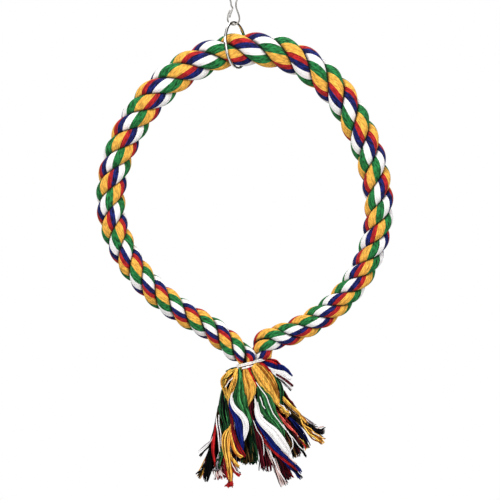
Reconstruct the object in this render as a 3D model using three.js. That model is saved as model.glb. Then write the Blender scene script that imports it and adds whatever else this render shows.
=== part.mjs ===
// A rope perch for a cage bird: three strands of coloured cotton laid round a bendable wire core,
// bent into a ring, tied at the foot into a tassel, and hung by a welded ring from a bent-wire clip.
// Millimetres, +Z up. The ring stands in the XZ plane and -Y is its front.
// The origin is inside the top of the clip, where a cage hook carries the perch.
import * as THREE from 'three';

const clearance = 0.3; // between pieces that touch

// Clip: one wire bent into two loops with a waist between them
const clipWire = 1.4;
const clipLength = 37.6; // between the wire's centres at the two loop ends
const clipLoop = 11.1; // across a loop, between the wire's centres
const clipWaist = 4.5; // across the waist, between the wire's centres
const clipLegTop = 5; // of the lower loop's free leg, below the waist
const clipTail = 7; // of the wire's other end, which lies beside that leg
const clipTailGap = 0.5; // between the tail and the leg

// Welded lift ring
const liftRingWire = 3;
const liftRingBore = 40;
const liftRingTurn = 26; // degrees that its plane is turned about the vertical from square to the rope
const liftRingLean = 5.5; // degrees that its foot hangs to the right

// Rope
const strandCount = 3;
const ropeTop = 32; // diameter over the strands at the top of the ring
const ropeFoot = 23.5; // diameter near the tie
const layTop = 70.5; // length of one turn of the strands where it is longest, near the top
const layFoot = [52, 53.4]; // length of one turn near the tie, on the right and on the left
const layMiddle = 0.455; // share of the rope at which its lay is longest
const layPower = 2.3; // how soon the lay shortens from there
const coreWire = 3;
const coreStop = 38; // of the core's two ends, short of the rope's
const tightestBend = 90; // radius at which the ring's turns crowd most
const ringWidth = 279; // over the rope
const ringHeight = 293.7; // from the tie up to the rope's centreline at the top
const tieShare = 0.054; // how far the tie lies right of the ring's middle, as a share of its half width

// The ring's route from the right rope end round to the left one, without the two necks:
// shares of the centreline's half width, and of the ring's height above the tie.
const ringShape = [
  [0.126, 0.05],
  [0.196, 0.076],
  [0.336, 0.093],
  [0.665, 0.179],
  [0.898, 0.309],
  [1.0, 0.465],
  [0.96, 0.621],
  [0.835, 0.763],
  [0.633, 0.892],
  [0.325, 0.982],
  [-0.0665, 1.0],
  [-0.388, 0.952],
  [-0.664, 0.863],
  [-0.859, 0.747],
  [-0.979, 0.615],
  [-0.997, 0.471],
  [-0.879, 0.336],
  [-0.666, 0.224],
  [-0.385, 0.139],
  [-0.262, 0.11],
  [-0.1135, 0.0586],
];
const saddle = ringShape.reduce((top, place) => (place[1] > top[1] ? place : top)); // rests on the lift ring
const saddleCrown = 35; // degrees by which a strand's crown has passed the underside there
const saddleGap = 1; // from the lift ring's wire up to the strand there, which is nearer beside the foot

// Necks: the two rope ends side by side under the tie
const neckDiameter = 14;
const neckBelow = 7; // of the rope ends below the middle of the tie
const neckTurn = 35; // degrees by which the left neck stands before the right one
const neckRise = 1.5; // straight run above the middle of the tie
const neckBend = [[1, -0.6, 8], [-6, 2.2, 9.5]]; // a place on each rope above its neck, right and left
const squeezeStart = [5.5, 0.5]; // above the middle of the tie, right and left
const squeezeLength = 15.5; // over which the rope narrows into its neck
const unlayLength = 6; // over which the strands run straight before they end
const neckFineLength = 37; // of the rope ends with close rings

// Tie: thin cord wound round both necks
const tieCord = 1.4;
const tieTurns = 2.5;
const tieGap = 0.5; // between one turn and the next
const tieTilt = 15; // degrees, higher on the right

// Tassel: the yarns below the tie, parted into one lock of each colour for every strand end
const lockColours = ['green', 'orange', 'white', 'red', 'blue'];
const outerReach = 0.69; // of the outer locks' centres from the neck's axis, as a share of its radius
const innerReach = 0.29;
const lockWidest = 13; // across a lock, round the tuft
const lockThickest = 7; // through a lock
const lockTaper = 0.35; // share of its width that a lock loses towards its tip
const fallPower = 1.5; // crowds a lock's rings towards the tie
const partPower = 0.6; // how early the locks part
// Where a lock leaves its strand's end: degrees round the neck, and degrees that it has to itself
const lockSpots = [
  { reach: outerReach, turn: 40, span: 40 },
  { reach: outerReach, turn: 0, span: 40 },
  { reach: outerReach, turn: -40, span: 40 },
  { reach: innerReach, turn: 30, span: 60 },
  { reach: innerReach, turn: -30, span: 60 },
];
// Where a tuft's middle falls to, how far it spreads sideways and front to back,
// the share of the fall that its right flank lacks, and how far it sways on the way
const tufts = {
  right: { tip: [31, 3, -107], spread: [33, 30], lift: 0.26, wave: 3 },
  left: { tip: [-21, -3, -108], spread: [22, 28], lift: 0.1, wave: -3 },
};

// Facets
const wireSides = 8;
const strandSides = 8;
const strandStepsPerLay = 9;
const neckStep = 4; // longest step of a strand in its necks
const tieSides = 6;
const tieStepsPerTurn = 24;
const lockSides = 7;
const lockSteps = 9;
const clipSteps = 64;
const clipSidePoints = 4; // of the clip's outline along half a loop's side
const loopPointTurn = 45; // degrees between the outline's points round a loop's end
const liftRingSteps = 48;
const coreSteps = 80;

const chordShare = Math.cos(Math.PI / strandStepsPerLay); // of a turn's radius, at the middle of a step

// Reckoning
const routePlaces = 1500; // along the rope, where its turns are counted
const spacingStep = 0.01; // of a turn, in the search for a strand's nearest place to the next
const settlePasses = 10; // in which a strand's radius settles

const radians = THREE.MathUtils.degToRad;
const front = new THREE.Vector3(0, -1, 0);
const up = new THREE.Vector3(0, 0, 1);

function material(colour, roughness, metalness = 0) {
  return new THREE.MeshStandardMaterial({ color: colour, roughness, metalness });
}

const finishes = {
  plated: material(0xc9cbcd, 0.22, 1),
  coreSteel: material(0x8b8d90, 0.5, 1),
  tie: material(0xf2f0ea, 0.9),
  green: material(0x1f8040, 0.92),
  orange: material(0xf0a63c, 0.92),
  white: material(0xf4f2ee, 0.92),
  red: material(0xb3202c, 0.92),
  blue: material(0x26307c, 0.92),
};

function smooth(share) {
  const x = THREE.MathUtils.clamp(share, 0, 1);
  return x * x * (3 - 2 * x);
}

// A round wire of one thickness along a curve
function wire(curve, diameter, steps) {
  const section = new THREE.Shape();
  for (let i = 0; i < wireSides; i++) {
    const angle = (2 * Math.PI * i) / wireSides;
    const x = (Math.cos(angle) * diameter) / 2;
    const y = (Math.sin(angle) * diameter) / 2;
    if (i === 0) section.moveTo(x, y);
    else section.lineTo(x, y);
  }
  return new THREE.ExtrudeGeometry(section, { steps, extrudePath: curve });
}

// A closed skin over rings of equally many points, with a flat cap at each end
function loft(rings) {
  const sides = rings[0].length;
  const last = rings.length - 1;
  const faces = [];
  for (let i = 0; i < last; i++) {
    for (let j = 0; j < sides; j++) {
      const a = i * sides + j;
      const b = i * sides + ((j + 1) % sides);
      faces.push(a, b, b + sides, a, b + sides, a + sides);
    }
  }
  for (let j = 1; j < sides - 1; j++) {
    faces.push(0, j + 1, j);
    faces.push(last * sides, last * sides + j, last * sides + j + 1);
  }
  const geometry = new THREE.BufferGeometry().setFromPoints(rings.flat());
  geometry.setIndex(faces);
  geometry.computeVertexNormals();
  return geometry;
}

// Points of an oval round a centre, counted from one half axis towards the other
function oval(centre, halfAxis, otherHalfAxis, sides) {
  return Array.from({ length: sides }, (_, j) => {
    const angle = (2 * Math.PI * j) / sides;
    const point = centre.clone().addScaledVector(halfAxis, Math.cos(angle));
    return point.addScaledVector(otherHalfAxis, Math.sin(angle));
  });
}

// A round tube through centres, with its own radius at each of them
function taperedTube(centres, radii, sides) {
  const last = centres.length - 1;
  const side = new THREE.Vector3(0, 1, 0);
  const rings = centres.map((centre, i) => {
    const along = centres[Math.min(i + 1, last)].clone().sub(centres[Math.max(i - 1, 0)]).normalize();
    side.addScaledVector(along, -side.dot(along)).normalize();
    const across = along.clone().cross(side);
    return oval(centre, side.clone().multiplyScalar(radii[i]), across.multiplyScalar(radii[i]), sides);
  });
  return loft(rings);
}

const perch = new THREE.Group();

function piece(name, geometry, finish) {
  const mesh = new THREE.Mesh(geometry, finish.clone());
  mesh.name = name;
  perch.add(mesh);
  return mesh;
}

// Clip: down the free leg, round the lower loop, up through the waist, round the upper loop,
// down through the waist again and along the inside of the free leg
const waistZ = (clipWire - clipLength) / 2;
const loopCentre = (clipLength - clipLoop) / 2; // of each loop's round end, from the waist
const clipFoot = waistZ - clipLength / 2; // the wire's centre at the bottom of the lower loop

function clipHalfWidth(rise) {
  const share = Math.min(Math.abs(rise) / loopCentre, 1);
  const swell = (1 - Math.cos(Math.PI * share)) / 2;
  return (clipWaist + (clipLoop - clipWaist) * swell) / 2;
}

function clipCurve() {
  const points = [];
  const add = (x, rise) => points.push(new THREE.Vector3(x, 0, waistZ + rise));
  const sidePoints = clipSidePoints;
  for (let i = 0; i < sidePoints; i++) {
    const rise = -THREE.MathUtils.lerp(clipLegTop, loopCentre, i / sidePoints);
    add(-clipHalfWidth(rise), rise);
  }
  for (let turn = 180; turn <= 360; turn += loopPointTurn) {
    const angle = radians(turn);
    add((Math.cos(angle) * clipLoop) / 2, -loopCentre + (Math.sin(angle) * clipLoop) / 2);
  }
  for (let i = 1; i < 2 * sidePoints; i++) {
    const rise = THREE.MathUtils.lerp(-loopCentre, loopCentre, i / (2 * sidePoints));
    add(clipHalfWidth(rise), rise);
  }
  for (let turn = 0; turn <= 180; turn += loopPointTurn) {
    const angle = radians(turn);
    add((Math.cos(angle) * clipLoop) / 2, loopCentre + (Math.sin(angle) * clipLoop) / 2);
  }
  for (let i = 1; i <= sidePoints; i++) {
    const rise = loopCentre * (1 - i / sidePoints);
    add(-clipHalfWidth(rise), rise);
  }
  for (let i = 1; i <= sidePoints; i++) {
    const rise = (-(clipLegTop + clipTail) * i) / sidePoints;
    const inset = (clipWire + clipTailGap) * smooth(-rise / (clipLegTop - clipWire));
    add(inset - clipHalfWidth(rise), rise);
  }
  return new THREE.CatmullRomCurve3(points);
}

piece('hanging_clip', wire(clipCurve(), clipWire, clipSteps), finishes.plated);

// Lift ring: its top rests in the clip's lower loop and its foot carries the rope
const liftRingRadius = (liftRingBore + liftRingWire) / 2;
const ringUp = new THREE.Vector3(-Math.sin(radians(liftRingLean)), 0, Math.cos(radians(liftRingLean)));
const ringAcross = new THREE.Vector3(-Math.sin(radians(liftRingTurn)), -Math.cos(radians(liftRingTurn)), 0);
ringAcross.addScaledVector(ringUp, -ringAcross.dot(ringUp)).normalize();
const liftRingTop = new THREE.Vector3(0, 0, clipFoot + (clipWire + liftRingWire) / 2 + clearance);
const liftRingMiddle = liftRingTop.clone().addScaledVector(ringUp, -liftRingRadius);
const liftRingFoot = liftRingTop.clone().addScaledVector(ringUp, -2 * liftRingRadius);

const liftRing = piece(
  'lift_ring',
  new THREE.TorusGeometry(liftRingRadius, liftRingWire / 2, wireSides, liftRingSteps),
  finishes.plated,
);
liftRing.position.copy(liftRingMiddle);
liftRing.setRotationFromMatrix(
  new THREE.Matrix4().makeBasis(ringAcross, ringUp, ringAcross.clone().cross(ringUp)),
);

// Rope route: the ring's shape is hung from its saddle on the lift ring
const saddlePoint = liftRingFoot.clone();
saddlePoint.addScaledVector(ringUp, liftRingWire / 2 + saddleGap + seatRadius());
const ringHalfWidth = (ringWidth - (ropeTop + ropeFoot) / 2) / 2; // of the centreline
const ringMiddleX = saddlePoint.x - saddle[0] * ringHalfWidth;
const tieX = ringMiddleX + tieShare * ringHalfWidth;
const tieZ = saddlePoint.z - saddle[1] * ringHeight;
const neckOffset = (neckDiameter + clearance) / 2; // of each neck's axis from the middle of the tie
const ropeEndZ = tieZ - neckBelow;
const neckMiddles = { right: neckMiddle(neckOffset), left: neckMiddle(-neckOffset) };

// A place on the line through both necks, so far to the right of the tie's middle
function neckMiddle(across) {
  const turn = radians(neckTurn);
  return new THREE.Vector3(tieX + across * Math.cos(turn), across * Math.sin(turn), tieZ);
}

function ropeCurve() {
  const points = [];
  const add = (place, x, y, z) => points.push(place.clone().add(new THREE.Vector3(x, y, z)));
  const ringPlace = new THREE.Vector3(ringMiddleX, 0, tieZ);
  add(neckMiddles.right, 0, 0, -neckBelow);
  add(neckMiddles.right, 0, 0, -neckBelow / 2);
  add(neckMiddles.right, 0, 0, neckRise);
  add(neckMiddles.right, ...neckBend[0]);
  for (const [x, z] of ringShape) add(ringPlace, x * ringHalfWidth, 0, z * ringHeight);
  add(neckMiddles.left, ...neckBend[1]);
  add(neckMiddles.left, 0, 0, neckRise);
  add(neckMiddles.left, 0, 0, -neckBelow / 2);
  add(neckMiddles.left, 0, 0, -neckBelow);
  const curve = new THREE.CatmullRomCurve3(points);
  curve.arcLengthDivisions = routePlaces;
  return curve;
}

const ropeRoute = ropeCurve();
const ropeLength = ropeRoute.getLength();

// Diameter and lay along the rope: full at the top, slimmer at the foot, squeezed in the necks
function ropeSwell(run) {
  return Math.sin((Math.PI * run) / ropeLength) ** 2;
}

function ropeDiameter(run) {
  const free = THREE.MathUtils.lerp(ropeFoot, ropeTop, ropeSwell(run));
  const pastRight = run - neckBelow - squeezeStart[0];
  const pastLeft = ropeLength - run - neckBelow - squeezeStart[1];
  return THREE.MathUtils.lerp(neckDiameter, free, smooth(Math.min(pastRight, pastLeft) / squeezeLength));
}

function ropeLay(run) {
  const share = THREE.MathUtils.clamp(run / ropeLength, 0, 1);
  const atRight = share < layMiddle;
  const fromFoot = atRight ? share / layMiddle : (1 - share) / (1 - layMiddle);
  const swell = Math.sin((Math.PI / 2) * fromFoot) ** (2 * layPower);
  const free = THREE.MathUtils.lerp(layFoot[atRight ? 0 : 1], layTop, swell);
  const freeDiameter = THREE.MathUtils.lerp(ropeFoot, ropeTop, ropeSwell(run));
  return (free * ropeDiameter(run)) / freeDiameter;
}

// Turns of the strands from the right rope end, on a fine row of places along the rope
const layRow = [{ run: 0, turns: 0 }];
const layStep = ropeLength / routePlaces;
while (layRow.length <= routePlaces) {
  const before = layRow[layRow.length - 1];
  const run = before.run + layStep;
  const twisting = smooth((Math.min(run, ropeLength - run) - neckBelow) / unlayLength);
  layRow.push({ run, turns: before.turns + (twisting * layStep) / ropeLay(run) });
}

function between(row, from, to, value) {
  const above = row.findIndex((place) => place[from] > value);
  const i = above === -1 ? row.length - 1 : Math.max(above, 1);
  const share = (value - row[i - 1][from]) / Math.max(row[i][from] - row[i - 1][from], 1e-9);
  return THREE.MathUtils.lerp(row[i - 1][to], row[i][to], THREE.MathUtils.clamp(share, 0, 1));
}

// The strands' turn at the right rope end, so that they lie as said at the saddle
const saddleRun = nearestRun(saddlePoint);
const firstTurn = saddleCrown / 360 - 0.25 - between(layRow, 'run', 'turns', saddleRun);

function nearestRun(point) {
  let best = 0;
  let least = Infinity;
  for (const { run } of layRow) {
    const away = ropePlace(run).centre.distanceTo(point);
    if (away < least) {
      least = away;
      best = run;
    }
  }
  return best;
}

// How close two neighbouring strands come, centre to centre
function strandSpacing(pitchRadius, lay) {
  let least = Infinity;
  for (let turn = 0; turn <= 1 / strandCount; turn += spacingStep) {
    const across = 2 * pitchRadius * Math.sin(Math.PI * (1 / strandCount - turn));
    least = Math.min(least, Math.hypot(across, lay * turn));
  }
  return least;
}

// A strand is as thick as its neighbours and the core leave room for. Inside a bend the turns crowd,
// and the straight steps between a strand's rings run nearer to the core than the rings do.
function strandRadius(diameter, lay) {
  let radius = diameter / 5;
  for (let pass = 0; pass < settlePasses; pass++) {
    const pitchRadius = diameter / 2 - radius;
    const crowdedLay = lay * (1 - pitchRadius / tightestBend);
    const besideStrands = (strandSpacing(pitchRadius * chordShare, crowdedLay) - clearance) / 2;
    const roundCore = ((diameter * chordShare - coreWire) / 2 - clearance) / (1 + chordShare);
    radius = (radius + Math.min(besideStrands, roundCore)) / 2;
  }
  return radius;
}

// How far the rope's middle lies above the lift ring's wire, which bears on a strand beside its crown
function seatRadius() {
  const radius = strandRadius(ropeTop, layTop);
  return radius + (ropeTop / 2 - radius) * Math.cos(radians(saddleCrown));
}

// The rope's centre and outward direction at a run along it
function ropePlace(run) {
  const share = THREE.MathUtils.clamp(run / ropeLength, 0, 1);
  const outward = ropeRoute.getTangentAt(share).cross(front).normalize();
  return { centre: ropeRoute.getPointAt(share), outward };
}

// Places of a strand's rings: so many to a turn, and close together in the necks and their bends
function strandRuns() {
  const progress = [{ run: 0, steps: 0 }];
  for (let i = 1; i < layRow.length; i++) {
    const run = layRow[i].run;
    const byTurn = (layRow[i].turns - layRow[i - 1].turns) * strandStepsPerLay;
    const byLength = Math.min(run, ropeLength - run) < neckFineLength ? layStep / neckStep : 0;
    progress.push({ run, steps: progress[i - 1].steps + Math.max(byTurn, byLength) });
  }
  const steps = Math.round(progress[progress.length - 1].steps);
  const scale = progress[progress.length - 1].steps / steps;
  return Array.from({ length: steps + 1 }, (_, i) => between(progress, 'steps', 'run', i * scale));
}

function strandAngle(index, run) {
  return 2 * Math.PI * (firstTurn + between(layRow, 'run', 'turns', run) + index / strandCount);
}

function strand(index) {
  const centres = [];
  const radii = [];
  for (const run of strandRuns()) {
    const { centre, outward } = ropePlace(run);
    const angle = strandAngle(index, run);
    const radius = strandRadius(ropeDiameter(run), ropeLay(run));
    const pitchRadius = ropeDiameter(run) / 2 - radius;
    centre.addScaledVector(front, Math.cos(angle) * pitchRadius);
    centre.addScaledVector(outward, Math.sin(angle) * pitchRadius);
    centres.push(centre);
    radii.push(radius);
  }
  return taperedTube(centres, radii, strandSides);
}

const strandNames = ['a', 'b', 'c'];
const strandFinishes = [finishes.green, finishes.orange, finishes.blue];
strandNames.forEach((name, index) => piece('strand_' + name, strand(index), strandFinishes[index]));

// The core's ends stop short of the tie, where they can't work out through the tassel
class CoreRoute extends THREE.Curve {
  getPoint(share) {
    const run = THREE.MathUtils.lerp(coreStop, ropeLength - coreStop, share);
    return ropeRoute.getPointAt(run / ropeLength);
  }
}
piece('core_wire', wire(new CoreRoute(), coreWire, coreSteps), finishes.coreSteel);

// Tie: the cord winds round both necks on an outline with straight sides and round ends
const tieRadius = neckDiameter / 2 + 2 * clearance + tieCord / 2;

function tieOutline(share) {
  const straight = 2 * neckOffset;
  const arc = Math.PI * tieRadius;
  const run = THREE.MathUtils.euclideanModulo(share, 1) * 2 * (straight + arc);
  if (run < straight / 2) return [run, tieRadius];
  if (run < straight / 2 + arc) {
    const angle = Math.PI / 2 - (run - straight / 2) / tieRadius;
    return [straight / 2 + Math.cos(angle) * tieRadius, Math.sin(angle) * tieRadius];
  }
  if (run < 1.5 * straight + arc) return [straight + arc - run, -tieRadius];
  if (run < 1.5 * straight + 2 * arc) {
    const angle = -Math.PI / 2 - (run - 1.5 * straight - arc) / tieRadius;
    return [-straight / 2 + Math.cos(angle) * tieRadius, Math.sin(angle) * tieRadius];
  }
  return [run - 2 * (straight + arc), tieRadius];
}

function tieCentres() {
  const centres = [];
  const steps = Math.round(tieTurns * tieStepsPerTurn);
  const pitch = tieCord + tieGap;
  for (let i = 0; i <= steps; i++) {
    const turns = (tieTurns * i) / steps;
    const [across, out] = tieOutline(turns - tieTurns / 2);
    const centre = new THREE.Vector3(across, out, 0).applyAxisAngle(up, radians(neckTurn));
    centre.z = tieZ + centre.x * Math.tan(radians(tieTilt)) + pitch * (turns - tieTurns / 2);
    centre.x += tieX;
    centres.push(centre);
  }
  return centres;
}

// Least gap from one turn of a winding to another
function leastSelfGap(centres, diameter) {
  let least = Infinity;
  const apart = tieStepsPerTurn / 2;
  for (let i = 0; i < centres.length; i++) {
    for (let j = i + apart; j < centres.length; j++) {
      least = Math.min(least, centres[i].distanceTo(centres[j]) - diameter);
    }
  }
  return least;
}

const tieRun = tieCentres();
piece('tie_cord', taperedTube(tieRun, tieRun.map(() => tieCord / 2), tieSides), finishes.tie);
console.log('tie cord: least gap between turns', leastSelfGap(tieRun, tieCord).toFixed(2), 'mm');

// Tassel: all the locks of a rope end part from each other as they fall, so none crosses another.
// Each is a flat ribbon of yarn that swells below the tie, wide round the tuft and thin across it.
const neckRadius = neckDiameter / 2;
const fallShares = Array.from({ length: lockSteps }, (_, i) => (i / (lockSteps - 1)) ** fallPower);

function lock(tuft, neck, spot, angle) {
  const reach = spot.reach * neckRadius;
  const flank = ((spot.reach / outerReach) * (1 + Math.sin(angle))) / 2;
  const halfSpacing = reach * Math.sin(radians(spot.span / 2));
  const rings = fallShares.map((fall) => {
    const parting = fall ** partPower;
    const wideX = THREE.MathUtils.lerp(1, tuft.spread[0] / (outerReach * neckRadius), parting);
    const wideY = THREE.MathUtils.lerp(1, tuft.spread[1] / (outerReach * neckRadius), parting);
    const out = new THREE.Vector3(Math.sin(angle) * wideX, -Math.cos(angle) * wideY, 0);
    const round = new THREE.Vector3(Math.cos(angle) * wideX, Math.sin(angle) * wideY, 0);
    const sway = tuft.wave * Math.sin(2 * Math.PI * fall) * (1 - fall);
    const drop = tuft.tip[2] * fall * (1 - tuft.lift * flank * fall);
    const centre = new THREE.Vector3(neck.x, neck.y, ropeEndZ - clearance + drop);
    centre.add(new THREE.Vector3(tuft.tip[0] * parting + sway, tuft.tip[1] * parting, 0));
    centre.addScaledVector(out, reach);
    const fray = 1 - lockTaper * fall ** 3;
    const halfWidth = Math.min(halfSpacing * round.length() - clearance / 2, lockWidest / 2) * fray;
    const halfThick = Math.min(halfWidth, THREE.MathUtils.lerp(halfWidth, lockThickest / 2, parting));
    return oval(centre, out.setLength(halfThick), round.setLength(halfWidth), lockSides).reverse();
  });
  return loft(rings);
}

for (const [end, tuft] of Object.entries(tufts)) {
  const atRight = end === 'right';
  const run = atRight ? 0 : ropeLength;
  const outwardX = atRight ? 1 : -1; // the rope's outward side at this end
  strandNames.forEach((name, index) => {
    lockSpots.forEach((spot, i) => {
      const angle = outwardX * (strandAngle(index, run) + radians(spot.turn));
      const colour = lockColours[i];
      piece(`${end}_${name}_${colour}_lock`, lock(tuft, neckMiddles[end], spot, angle), finishes[colour]);
    });
  });
}

export default perch;
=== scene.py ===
# Rope perch: laid cotton rope, tassel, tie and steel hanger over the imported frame
import bisect
import math
import random
import bpy
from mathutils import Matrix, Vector


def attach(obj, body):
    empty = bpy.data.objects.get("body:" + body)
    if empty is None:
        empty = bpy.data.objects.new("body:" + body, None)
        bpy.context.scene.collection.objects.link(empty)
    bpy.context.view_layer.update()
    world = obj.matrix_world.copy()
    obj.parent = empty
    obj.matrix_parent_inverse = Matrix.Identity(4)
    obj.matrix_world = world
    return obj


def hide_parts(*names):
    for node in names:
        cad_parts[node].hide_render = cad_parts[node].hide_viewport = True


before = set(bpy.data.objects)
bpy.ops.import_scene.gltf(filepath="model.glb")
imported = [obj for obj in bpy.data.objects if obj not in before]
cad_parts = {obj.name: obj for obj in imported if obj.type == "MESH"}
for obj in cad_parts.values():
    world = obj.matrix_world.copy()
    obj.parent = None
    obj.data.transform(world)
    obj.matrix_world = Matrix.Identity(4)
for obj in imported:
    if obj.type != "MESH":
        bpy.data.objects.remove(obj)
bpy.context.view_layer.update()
scene = bpy.context.scene
scene.view_settings.view_transform = "Standard"
print("frame loaded:", len(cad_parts), "nodes")


# Shorthands for building node trees
class Wire:
    # one output of a node, which can be added to others, taken from them and multiplied by them
    def __init__(self, node, key=0):
        self.tree = node.id_data
        self.socket = node.outputs[key]

    def __add__(self, other):
        return maths(self.tree, "ADD", self, other)

    def __sub__(self, other):
        return maths(self.tree, "SUBTRACT", self, other)

    def __rsub__(self, other):
        return maths(self.tree, "SUBTRACT", other, self)

    def __mul__(self, other):
        return maths(self.tree, "MULTIPLY", self, other)


def plug(tree, socket, value):
    if isinstance(value, Wire):
        value = value.socket
    if isinstance(value, bpy.types.NodeSocket):
        tree.links.new(value, socket)
    else:
        socket.default_value = value


def addNode(tree, kind, inputs=None, **settings):
    made = tree.nodes.new(kind)
    for name, value in settings.items():
        setattr(made, name, value)
    for key, value in (inputs or {}).items():
        plug(tree, made.inputs[key], value)
    return made


def addWire(tree, kind, inputs=None, **settings):
    return Wire(addNode(tree, kind, inputs, **settings))


def maths(tree, operation, *values):
    return addWire(tree, "ShaderNodeMath", dict(enumerate(values)), operation=operation)


def wholeMaths(tree, operation, *values):
    return addWire(tree, "FunctionNodeIntegerMath", dict(enumerate(values)), operation=operation)


def vectors(tree, operation, *values):
    return addWire(tree, "ShaderNodeVectorMath", dict(enumerate(values)), operation=operation)


def scaled(tree, vector, factor):
    return addWire(tree, "ShaderNodeVectorMath", {0: vector, "Scale": factor}, operation="SCALE")


def joined(tree, x, y, z):
    return addWire(tree, "ShaderNodeCombineXYZ", {0: x, 1: y, 2: z})


def eased(tree, value, fromMin, fromMax, toMin=0.0, toMax=1.0):
    inputs = dict(enumerate((value, fromMin, fromMax, toMin, toMax)))
    return addWire(tree, "ShaderNodeMapRange", inputs, interpolation_type="SMOOTHSTEP")


def noise(tree, place, scale, detail):
    return addWire(tree, "ShaderNodeTexNoise", {"Vector": place, "Scale": scale, "Detail": detail})


def linear(red, green, blue):
    def one(value):
        value /= 255
        return value / 12.92 if value <= 0.04045 else ((value + 0.055) / 1.055) ** 2.4
    return (one(red), one(green), one(blue), 1.0)


def smooth(share):
    share = min(max(share, 0.0), 1.0)
    return share * share * (3 - 2 * share)


def lerp(a, b, share):
    return a + (b - a) * share


# Camera: square on to the ring from far off with a long lens, as the photograph is taken
view = dict(width=0.470, middle=(0.0155, 0.0, -0.2486), distance=3.0, sensor=36.0, farthest=20.0)


def makeCamera():
    data = bpy.data.cameras.new("camera")
    data.sensor_width = view["sensor"]
    data.lens = data.sensor_width * view["distance"] / view["width"]
    data.clip_end = view["farthest"]
    camera = bpy.data.objects.new("camera", data)
    x, y, z = view["middle"]
    camera.location = (x, y - view["distance"], z)
    camera.rotation_euler = (math.radians(90), 0, 0)
    scene.collection.objects.link(camera)
    scene.camera = camera


makeCamera()


# Studio: a white world and soft lamps round the hanging perch, each with its place, size and power
studio = dict(
    worldLight=0.52, darkSides=(0.40, 0.58), darkTone=0.03,
    lamps=(
        ("keyLamp", (-0.6, -1.5, 0.7), 0.9, 24.0),
        ("fillLamp", (1.1, -1.3, -0.1), 1.2, 9.0),
        ("topLamp", (0.1, 0.3, 1.2), 0.9, 7.0),
        ("backLamp", (-0.3, 1.5, 0.3), 1.2, 11.0),
    ),
)


def makeStudio():
    world = bpy.data.worlds.new("studioWorld")
    scene.world = world
    world.use_nodes = True
    tree = world.node_tree
    tree.nodes.clear()
    path = addNode(tree, "ShaderNodeLightPath")
    seen = maths(tree, "MAXIMUM", path.outputs["Is Camera Ray"], path.outputs["Is Glossy Ray"])
    seen = maths(tree, "MAXIMUM", seen, path.outputs["Is Transmission Ray"])
    strength = addWire(tree, "ShaderNodeMapRange", {0: seen, 3: studio["worldLight"], 4: 1.0})
    # bright metal shows a dark room to its left and right, so its edges stand out from the white
    ahead = addNode(tree, "ShaderNodeTexCoord").outputs["Generated"]
    side = maths(tree, "ABSOLUTE", addWire(tree, "ShaderNodeSeparateXYZ", {0: ahead}))
    dark = eased(tree, side, *studio["darkSides"], 0.0, 1.0 - studio["darkTone"])
    strength = strength * (1.0 - dark * path.outputs["Is Glossy Ray"])
    white = addWire(tree, "ShaderNodeBackground", {"Color": (1, 1, 1, 1), "Strength": strength})
    addNode(tree, "ShaderNodeOutputWorld", {"Surface": white})

    aim = Vector(view["middle"])
    for name, place, size, watts in studio["lamps"]:
        data = bpy.data.lights.new(name, "AREA")
        data.shape = "DISK"
        data.size = size
        data.energy = watts
        lamp = bpy.data.objects.new(name, data)
        lamp.location = place
        lamp.rotation_euler = (aim - Vector(place)).to_track_quat("-Z", "Y").to_euler()
        scene.collection.objects.link(lamp)


makeStudio()
print("camera and studio made")


# Dyed cotton: the rope is green, amber, red, blue and white, and its loose ends show more shades
dye = dict(
    green=linear(34, 116, 60), amber=linear(240, 179, 76), red=linear(180, 34, 36),
    blue=linear(20, 30, 96), white=linear(248, 245, 245), leaf=linear(54, 116, 66),
    orange=linear(247, 186, 84), maroon=linear(78, 20, 29), black=linear(16, 15, 17),
    pink=linear(222, 192, 186), grey=linear(120, 116, 122), rust=linear(156, 94, 32),
    umber=linear(78, 60, 32), pine=linear(28, 58, 38), salmon=linear(214, 84, 74),
)
cotton = dict(roughness=0.88, specular=0.2, sheen=0.06, sheenRoughness=0.5, bump=0.25, bumpDepth=0.0006)


def emptyMaterial(name):
    material = bpy.data.materials.new(name)
    material.use_nodes = True
    material.node_tree.nodes.clear()
    return material, material.node_tree


def cottonShader(tree, colour, height, dyedSheen=False):
    bump = addWire(tree, "ShaderNodeBump", {
        "Height": height, "Strength": cotton["bump"], "Distance": cotton["bumpDepth"]})
    shader = addNode(tree, "ShaderNodeBsdfPrincipled", {
        "Base Color": colour, "Roughness": cotton["roughness"], "Specular IOR Level": cotton["specular"],
        "Sheen Weight": cotton["sheen"], "Sheen Roughness": cotton["sheenRoughness"], "Normal": bump})
    if dyedSheen:
        plug(tree, shader.inputs["Sheen Tint"], colour)
        plug(tree, shader.inputs["Specular Tint"], colour)
    addNode(tree, "ShaderNodeOutputMaterial", {"Surface": shader.outputs[0]})


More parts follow.
